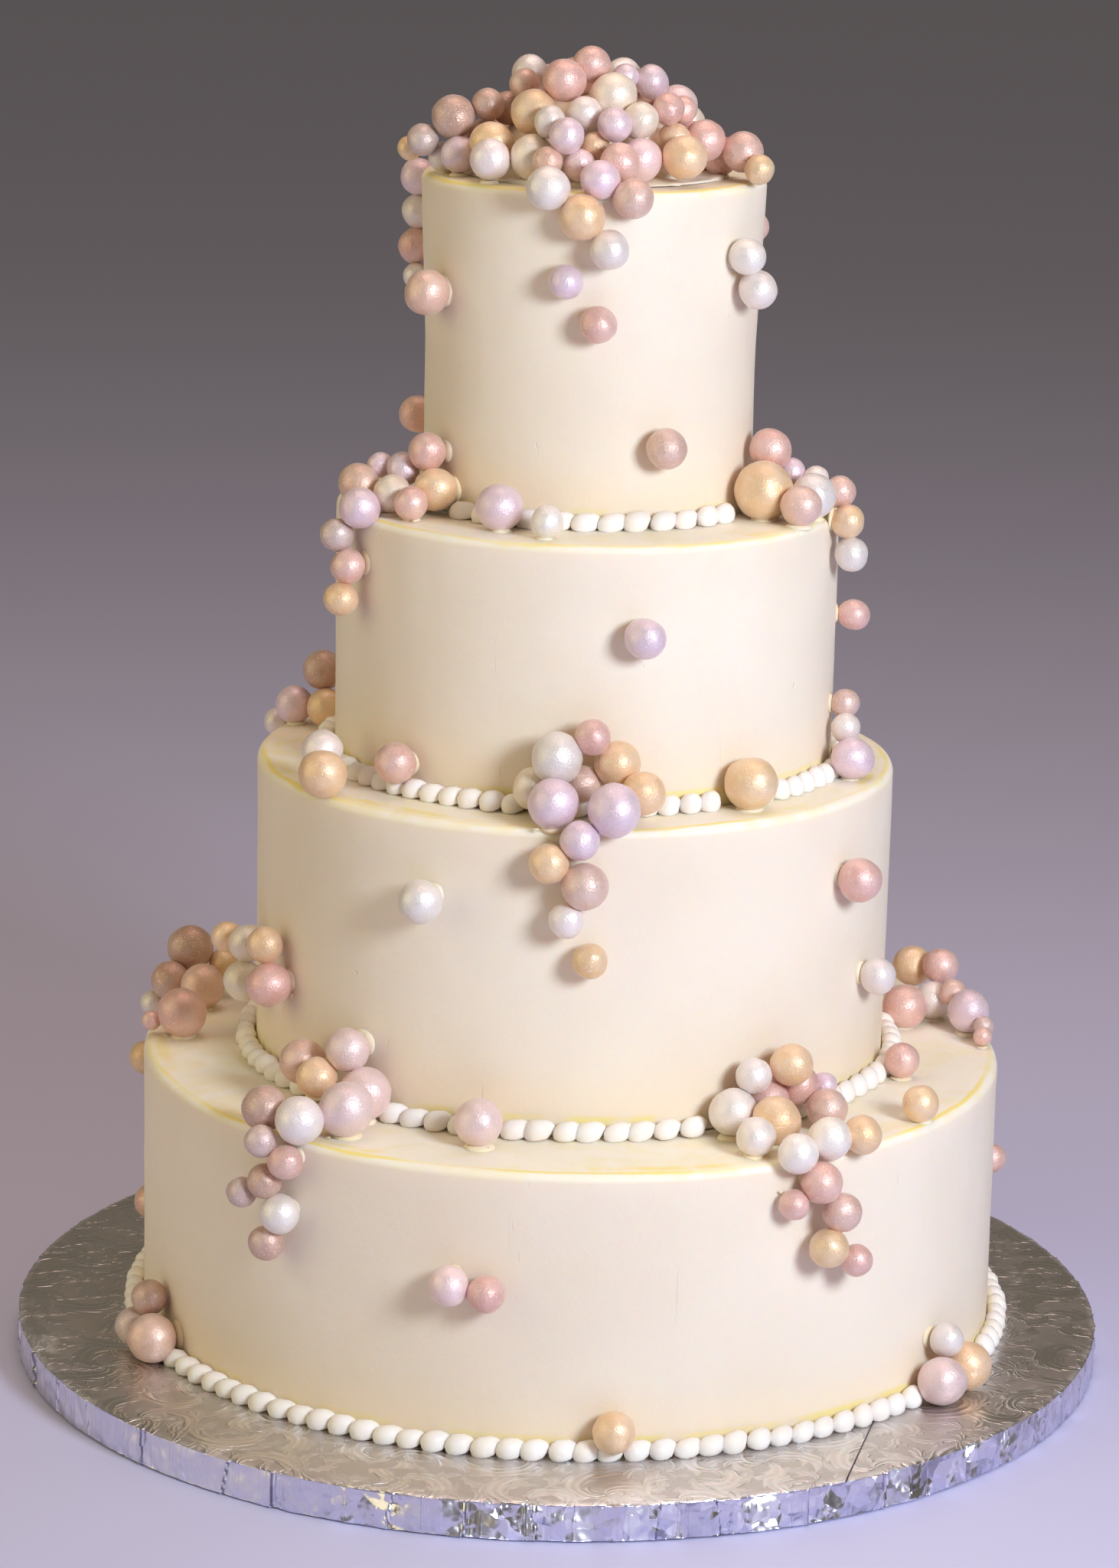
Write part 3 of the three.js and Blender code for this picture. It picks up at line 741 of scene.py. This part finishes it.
# ---- the piped borders ----
# A row of buttercream beads squeezed from a round nozzle at each tier's foot. Each bead is let go with a
# flick, so it is round where it starts and has a low tail that the next bead covers.

BEADS = {4: 115, 3: 83, 2: 75, 1: 42}
BEAD_OUT = 9.5 * MM
BEAD_UP = 9 * MM
BEAD_LAP = 1.24
BEAD_SINK = 0.6 * MM
BEAD_CLEAR = 1.2 * MM
BEAD_RIPPLE = (6 * MM, 0.7 * MM)
ICING_WHITE = (0.93, 0.885, 0.86, 1)
ICING_WARM = (0.92, 0.85, 0.79, 1)
ICING_SOFTNESS = (0.4, (1.0, 0.7, 0.45), (60, 120, 420), 0.58)


def soft_icing(name, light, deep, weight, glow, grains, roughest):
    """Satin icing, faintly clouded between two creams. The grains are its clouds, sheen and skin."""
    made = new_material(
        name, Subsurface_Weight=weight, Subsurface_Scale=4 * MM, Subsurface_Radius=glow,
        Specular_IOR_Level=0.35,
    )
    place = object_place(made)
    clouds, sheen, skin = grains
    clouds = fade(made, noise(made, place, clouds, 3), 0.35, 0.7)
    join_shader(made, "Base Color", blend_colours(made, clouds, light, deep))
    sheen = noise(made, place, sheen, 2)
    join_shader(made, "Roughness", fade(made, sheen, 0.3, 0.7, 0.4, roughest))
    join_shader(made, "Normal", relief(made, noise(made, place, skin, 3), 0.2, 0.3 * MM))
    return made


def one_bead():
    """A bead one unit long, deep and tall that stands at the origin, its tail towards +X, flat below."""
    bpy.ops.mesh.primitive_uv_sphere_add(segments=12, ring_count=8, radius=0.5, rotation=(0, pi / 2, 0))
    piece = settle(bpy.context.object, "bead")
    bpy.ops.object.mode_set(mode="EDIT")
    # It is fuller where it starts and narrows to its tail, and it settles flat on the ledge.
    pick(piece, "VERT", lambda vertex: vertex.co.x < -0.1)
    bpy.ops.transform.resize(value=(1, 1.08, 1.08), center_override=(0, 0, 0))
    for start, narrow in ((0.1, 0.93), (0.3, 0.8)):
        pick(piece, "VERT", lambda vertex: vertex.co.x > start)
        bpy.ops.transform.resize(value=(1, narrow, narrow), center_override=(0, 0.2, 0.1))
        bpy.ops.transform.translate(value=(0, 0.04, 0.04))
    pick(piece, "VERT", lambda vertex: vertex.co.z < -0.3)
    bpy.ops.transform.resize(value=(1.1, 1.4, 1), center_override=(0, 0, 0))
    pick(piece, "VERT", lambda vertex: vertex.co.z < -0.15)
    bpy.ops.transform.resize(value=(1, 1, 0.4), center_override=(0, 0, -0.15))
    bpy.ops.mesh.select_all(action="SELECT")
    bpy.ops.transform.translate(value=(0, 0, 0.3))
    bpy.ops.transform.resize(value=(1, 1, 1.25), center_override=(0, 0, 0))
    bpy.ops.object.mode_set(mode="OBJECT")
    bpy.ops.object.shade_smooth()
    return piece


def own_copy(piece, place):
    """A copy with its own mesh, moved by changing that mesh."""
    copied = piece.copy()
    copied.data = piece.data.copy()
    copied.data.transform(place)
    bpy.context.scene.collection.objects.link(copied)
    return copied


def joined(pieces, name):
    select_only(*pieces)
    bpy.ops.object.join()
    piece = bpy.context.object
    piece.name = piece.data.name = name
    return piece


def piped_border(tier, bead):
    draw = random.Random(100 + tier.number)
    count = BEADS[tier.number]
    reach = tier.radius + BEAD_OUT * 0.5
    length = tau * reach / count * BEAD_LAP
    beads = []
    for i in range(count):
        around = (i + draw.uniform(-0.06, 0.06)) * tau / count
        size = draw.uniform(0.92, 1.06)
        foot = Vector((tier.shift + reach * sin(around), -reach * cos(around), tier.foot - BEAD_SINK))
        middle = foot + Vector((0, 0, BEAD_UP / 2))
        if any((middle - pearl.centre).length < pearl.radius + BEAD_CLEAR for pearl in every_pearl):
            continue
        place = (
            Matrix.Translation(foot) @ Matrix.Rotation(around, 4, "Z")
            @ Matrix.Rotation(radians(draw.uniform(-9, -1)), 4, "Y")
            @ Matrix.Rotation(radians(draw.uniform(6, 16)), 4, "Z")
            @ Matrix.Diagonal((length * draw.uniform(0.95, 1.05), BEAD_OUT * size, BEAD_UP * size, 1))
        )
        beads.append(own_copy(bead, place))
    piece = joined(beads, f"bead_border_{tier.number}")
    ripple(piece, "CLOUDS", *BEAD_RIPPLE)
    return piece


icing = soft_icing("piped_icing", ICING_WHITE, ICING_WARM, *ICING_SOFTNESS)
bead = one_bead()
for tier in tiers.values():
    border = piped_border(tier, bead)
    border.data.materials.append(icing)
    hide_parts(f"border_{tier.number}")
    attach(border, "root")
bpy.data.objects.remove(bead)


# ---- the icing under the pearls ----
# A mound of buttercream on the top tier carries the heap of pearls, and a thin uneven bed of it shows
# between them. Each pearl elsewhere is stuck on with a dab of the same cream, which shows at its foot.
# The dabs are real, but their warmer, yellower cream is a painted glow of light through the cream
# round each pearl.

MOUND_RIPPLE = (14 * MM, 3 * MM)
BED_RADIUS = 61 * MM
BED_THICK = 1.6 * MM
BED_RINGS = (3 * MM, 4 * MM, 5 * MM, 8 * MM)
BED_RIPPLE = (16 * MM, 4 * MM)
DAB_ON_LEDGE = (0.5, 0.66)  # as parts of its pearl
DAB_ON_WALL = (0.5, 0.72)
DAB_HEIGHT = 0.2
DAB_RIPPLE = (5 * MM, 1.1 * MM)
WISP_CHANCE = 0.35
PRESSED_IN = 1.5 * MM
MOUND_CREAMS = ((0.91, 0.82, 0.70, 1), (0.91, 0.77, 0.59, 1))
# Warmer than the walls' cream: a painted glow of light round each pearl.
DAB_CREAMS_WITH_GLOW = ((0.92, 0.80, 0.62, 1), (0.91, 0.74, 0.48, 1))
CREAM_SOFTNESS = (0.3, (1.0, 0.65, 0.4), (50, 110, 380), 0.55)


def icing_mound():
    top = tiers[1]
    bpy.ops.mesh.primitive_uv_sphere_add(
        segments=72, ring_count=40, radius=1, location=(top.shift, 0, top.top),
        scale=(MOUND_RADIUS, MOUND_RADIUS, MOUND_HEIGHT))
    piece = settle(bpy.context.object, "icing_mound")
    bpy.ops.object.mode_set(mode="EDIT")
    bpy.ops.mesh.select_all(action="SELECT")
    bpy.ops.mesh.bisect(
        plane_co=(0, 0, top.top - 0.5 * MM), plane_no=(0, 0, 1), clear_inner=True, use_fill=True)
    bpy.ops.object.mode_set(mode="OBJECT")
    ripple(piece, "CLOUDS", *MOUND_RIPPLE)
    bpy.ops.object.shade_smooth()
    return piece


def icing_bed():
    top = tiers[1]
    bpy.ops.mesh.primitive_cylinder_add(
        vertices=140, radius=BED_RADIUS, depth=BED_THICK,
        location=(top.shift, 0, top.top + BED_THICK / 2))
    piece = settle(bpy.context.object, "icing_bed")
    bpy.ops.object.mode_set(mode="EDIT")
    pick(piece, "EDGE", near_rim(top.top + BED_THICK, BED_RADIUS, top.shift))
    bpy.ops.mesh.bevel(offset=1.3 * MM, segments=4, affect="EDGES")
    pick(piece, "FACE", lambda face: face.normal.z > 0.99)
    for ring in BED_RINGS:
        bpy.ops.mesh.inset(thickness=ring)
    bpy.ops.mesh.poke()
    bpy.ops.object.mode_set(mode="OBJECT")
    ripple(piece, "CLOUDS", *BED_RIPPLE)
    bpy.ops.object.shade_smooth()
    return piece


mound_cream = soft_icing("mound_cream", *MOUND_CREAMS, *CREAM_SOFTNESS)
for piece in (icing_mound(), icing_bed()):
    piece.data.materials.append(mound_cream)
    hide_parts("crown")
    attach(piece, "root")


def dab_place(pearl):
    """The way out of the cake and the point where the pearl is pressed in, or None where it isn't."""
    for tier in tiers.values():
        from_axis = Vector((pearl.centre.x - tier.shift, pearl.centre.y, 0))
        wall = tier.wall(pearl.centre.z)
        leans = from_axis.length - pearl.radius < wall + PRESSED_IN
        if leans and tier.foot < pearl.centre.z < tier.top:
            outward = from_axis.normalized()
            return outward, Vector((tier.shift, 0, pearl.centre.z)) + outward * wall
        sits = abs(pearl.centre.z - pearl.radius - tier.top) < PRESSED_IN
        if sits and from_axis.length < tier.radius - 2 * MM:
            return Vector((0, 0, 1)), Vector((pearl.centre.x, pearl.centre.y, tier.top))
    return None


def dabs_under_pearls():
    """A soft dab of cream behind each pearl, pulled out into a small wisp here and there."""
    draw = random.Random(7)
    bpy.ops.mesh.primitive_uv_sphere_add(segments=16, ring_count=8, radius=1)
    dab = settle(bpy.context.object, "dab")
    bpy.ops.object.mode_set(mode="EDIT")
    pick(dab, "VERT", lambda vertex: vertex.co.z > 0.8)
    bpy.ops.transform.translate(value=(0, 0, -0.15))
    bpy.ops.object.mode_set(mode="OBJECT")
    bpy.ops.object.shade_smooth()
    bpy.ops.mesh.primitive_cone_add(vertices=7, radius1=0.5, radius2=0.08, depth=1, location=(0, 0, 0.5))
    wisp = settle(bpy.context.object, "wisp")
    bpy.ops.object.mode_set(mode="EDIT")
    bpy.ops.mesh.select_all(action="SELECT")
    bpy.ops.mesh.bisect(plane_co=(0, 0, 0.55), plane_no=(0, 0, 1))
    pick(wisp, "VERT", lambda vertex: vertex.co.z > 0.9)
    bpy.ops.transform.translate(value=(0.35, 0, 0))
    bpy.ops.object.mode_set(mode="OBJECT")
    bpy.ops.object.shade_smooth()
    made = []
    for pearl in every_pearl:
        found = dab_place(pearl)
        if not found:
            continue
        outward, spot = found
        turn = outward.to_track_quat("Z", "Y").to_matrix().to_4x4()
        wide = pearl.radius * draw.uniform(*DAB_ON_LEDGE if outward.z > 0.5 else DAB_ON_WALL)
        size = Matrix.Diagonal((wide * draw.uniform(0.85, 1.1), wide, pearl.radius * DAB_HEIGHT, 1))
        aside = Matrix.Translation([pearl.radius * draw.uniform(-0.14, 0.14) for _ in range(2)] + [0])
        made.append(own_copy(dab, Matrix.Translation(spot) @ turn @ aside @ size))
        if draw.random() < WISP_CHANCE:
            side = Matrix.Rotation(draw.uniform(0, tau), 4, "Z")
            lean = Matrix.Rotation(radians(draw.uniform(50, 75)), 4, "Y")
            shape = Matrix.Diagonal((1.5 * MM, 1.5 * MM, draw.uniform(1.8, 3.2) * MM, 1))
            start = Matrix.Translation((pearl.radius * 0.6, 0, 0.3 * MM))
            made.append(own_copy(wisp, Matrix.Translation(spot) @ turn @ side @ start @ lean @ shape))
    bpy.data.objects.remove(dab)
    bpy.data.objects.remove(wisp)
    piece = joined(made, "cream_dabs")
    ripple(piece, "CLOUDS", *DAB_RIPPLE)
    return piece


dabs = dabs_under_pearls()
dabs.data.materials.append(soft_icing("dab_cream", *DAB_CREAMS_WITH_GLOW, *CREAM_SOFTNESS))
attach(dabs, "root")


# ---- the sugar pearls ----
# Balls of sugar paste rolled by hand and dusted with pearl lustre, in rose, copper, gold, lavender and
# ivory. They are stuck on with a dab of icing. The dust gives each a soft broad shine with fine sparkle;
# the sparkle is painted into the colour as pale specks, painted glints, among pale patches of real dust.

PEARL_TONES = {
    "gold": (0.88, 0.59, 0.33), "lavender": (0.80, 0.62, 0.71), "lilac": (0.63, 0.47, 0.44),
    "blush": (0.86, 0.64, 0.65), "peach": (0.77, 0.49, 0.38), "ivory": (0.87, 0.75, 0.62),
    "white": (0.86, 0.78, 0.75), "rose": (0.78, 0.46, 0.40), "copper": (0.75, 0.49, 0.41),
    "taupe": (0.58, 0.36, 0.28),
}
# Pale for the dust's patches and for the painted glints.
PEARL_DUST_AND_GLINT = (0.95, 0.87, 0.82, 1)
PEARL_RIPPLE = (9 * MM, 1.1 * MM)
PEARL_SQUASH = (0.955, 1.02)


def pearl_lustre():
    made = new_material(
        "pearl_lustre", Metallic=0.3, Coat_Weight=0.12, Coat_Roughness=0.35, Sheen_Weight=0.25,
        Sheen_Roughness=0.4, Specular_IOR_Level=0.6,
    )
    place = object_place(made)
    tone = add_node(made, "ShaderNodeAttribute", attribute_name="tone").outputs["Color"]
    dust_and_glints = fade(made, noise(made, place, 90, 4, 0.6), 0.3, 0.75, 0.0, 0.3)
    # Painted glints: fine pale specks in the colour stand for the sparkle of the dust.
    painted_glints = fade(made, noise(made, place, 1000, 1), 0.58, 0.7, 0.0, 0.45)
    dust_and_glints = larger(made, dust_and_glints, painted_glints)
    join_shader(made, "Base Color", blend_colours(made, dust_and_glints, tone, PEARL_DUST_AND_GLINT))
    join_shader(made, "Roughness", fade(made, noise(made, place, 260, 3, 0.6), 0.3, 0.7, 0.34, 0.52))
    skin = relief(made, noise(made, place, 1100, 2, 0.6), 0.9, 0.3 * MM)
    join_shader(made, "Normal", relief(made, noise(made, place, 170, 3), 0.25, 0.5 * MM, skin))
    return made


def pearl_group(name, pearls, ball, draw):
    balls = []
    for pearl in pearls:
        turn = Matrix.Rotation(draw.uniform(0, tau), 4, Vector((draw.random(), draw.random(), 1)))
        squash = [pearl.radius * draw.uniform(*PEARL_SQUASH) for _ in range(3)]
        made = own_copy(ball, Matrix.Translation(pearl.centre) @ turn @ Matrix.Diagonal((*squash, 1)))
        shade = draw.uniform(0.93, 1.05)
        colour = [min(1.0, part * shade * draw.uniform(0.98, 1.02)) for part in PEARL_TONES[pearl.tone]]
        tone = made.data.color_attributes.new("tone", "FLOAT_COLOR", "POINT")
        for point in tone.data:
            point.color = (*colour, 1)
        balls.append(made)
    piece = joined(balls, name)
    ripple(piece, "CLOUDS", *PEARL_RIPPLE)
    return piece


lustre = pearl_lustre()
pearl_draw = random.Random(3)
bpy.ops.mesh.primitive_ico_sphere_add(subdivisions=4, radius=1)
ball = settle(bpy.context.object, "ball")
bpy.ops.object.shade_smooth()
for name, pearls in groups.items():
    group = pearl_group(f"pearls_{name}", pearls, ball, pearl_draw)
    group.data.materials.append(lustre)
    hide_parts("crown" if name == "crown_cover" else name)
    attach(group, "root")
bpy.data.objects.remove(ball)


# ---- the table, the light and the camera ----
# A plain pale table top under soft studio light: a window-like key light at the front right, a wide
# warm light at the left, one above, and a dim room. The camera stands back with a long lens and looks
# a little down.

TABLE_SIZE = 40.0
TABLE_COLOUR = (0.59, 0.59, 0.83, 1)
LIT_PLACE = Vector((0, 0, 0.3))
ROOM_LIGHT = (0.74, 0.65, 0.50, 1)
ROOM_STRENGTH = 0.2
LENS = 107.98
CAMERA_PLACE = Vector((0, -2.149, 0.807))
CAMERA_DOWN = radians(13.95)
CAMERA_ASIDE = radians(-0.106)
CAMERA_ROLL = radians(1.198)

bpy.ops.mesh.primitive_plane_add(size=TABLE_SIZE, location=(0, TABLE_SIZE * 0.3, 0))
table = settle(bpy.context.object, "table_top")
table_paint = new_material("table_paint", Base_Color=TABLE_COLOUR, Roughness=0.6)
table.data.materials.append(table_paint)


def soft_light(name, place, size, power, colour):
    light = bpy.data.lights.new(name, "AREA")
    light.shape = "SQUARE"
    light.size = size
    light.energy = power
    light.color = colour
    lamp = bpy.data.objects.new(name, light)
    bpy.context.scene.collection.objects.link(lamp)
    lamp.location = place
    lamp.rotation_euler = (LIT_PLACE - Vector(place)).to_track_quat("-Z", "Y").to_euler()


soft_light("key_light", (0.835, -1.24, 0.88), 0.42, 21.8, (0.84, 0.90, 0.99))
soft_light("side_light", (-2.1, -0.7, 1.0), 2.2, 18.5, (1.0, 0.89, 0.54))
soft_light("top_light", (0.2, 0.2, 2.2), 1.4, 16, (1.0, 0.74, 0.65))

room = bpy.data.worlds.new("room")
room.use_nodes = True
room.node_tree.nodes["Background"].inputs["Color"].default_value = ROOM_LIGHT
room.node_tree.nodes["Background"].inputs["Strength"].default_value = ROOM_STRENGTH
bpy.context.scene.world = room
bpy.context.scene.view_settings.view_transform = "Standard"

forward = Vector((
    sin(CAMERA_ASIDE) * cos(CAMERA_DOWN), cos(CAMERA_ASIDE) * cos(CAMERA_DOWN), -sin(CAMERA_DOWN)))
level = forward.cross(Vector((0, 0, 1))).normalized()
upright = level.cross(forward)
right = level * cos(CAMERA_ROLL) + upright * sin(CAMERA_ROLL)
above = upright * cos(CAMERA_ROLL) - level * sin(CAMERA_ROLL)
camera = bpy.data.objects.new("camera", bpy.data.cameras.new("camera"))
bpy.context.scene.collection.objects.link(camera)
camera.data.lens = LENS
camera.data.clip_end = 100
turned = Matrix((right, above, -forward)).transposed().to_4x4()
camera.matrix_world = Matrix.Translation(CAMERA_PLACE) @ turned
bpy.context.scene.camera = camera
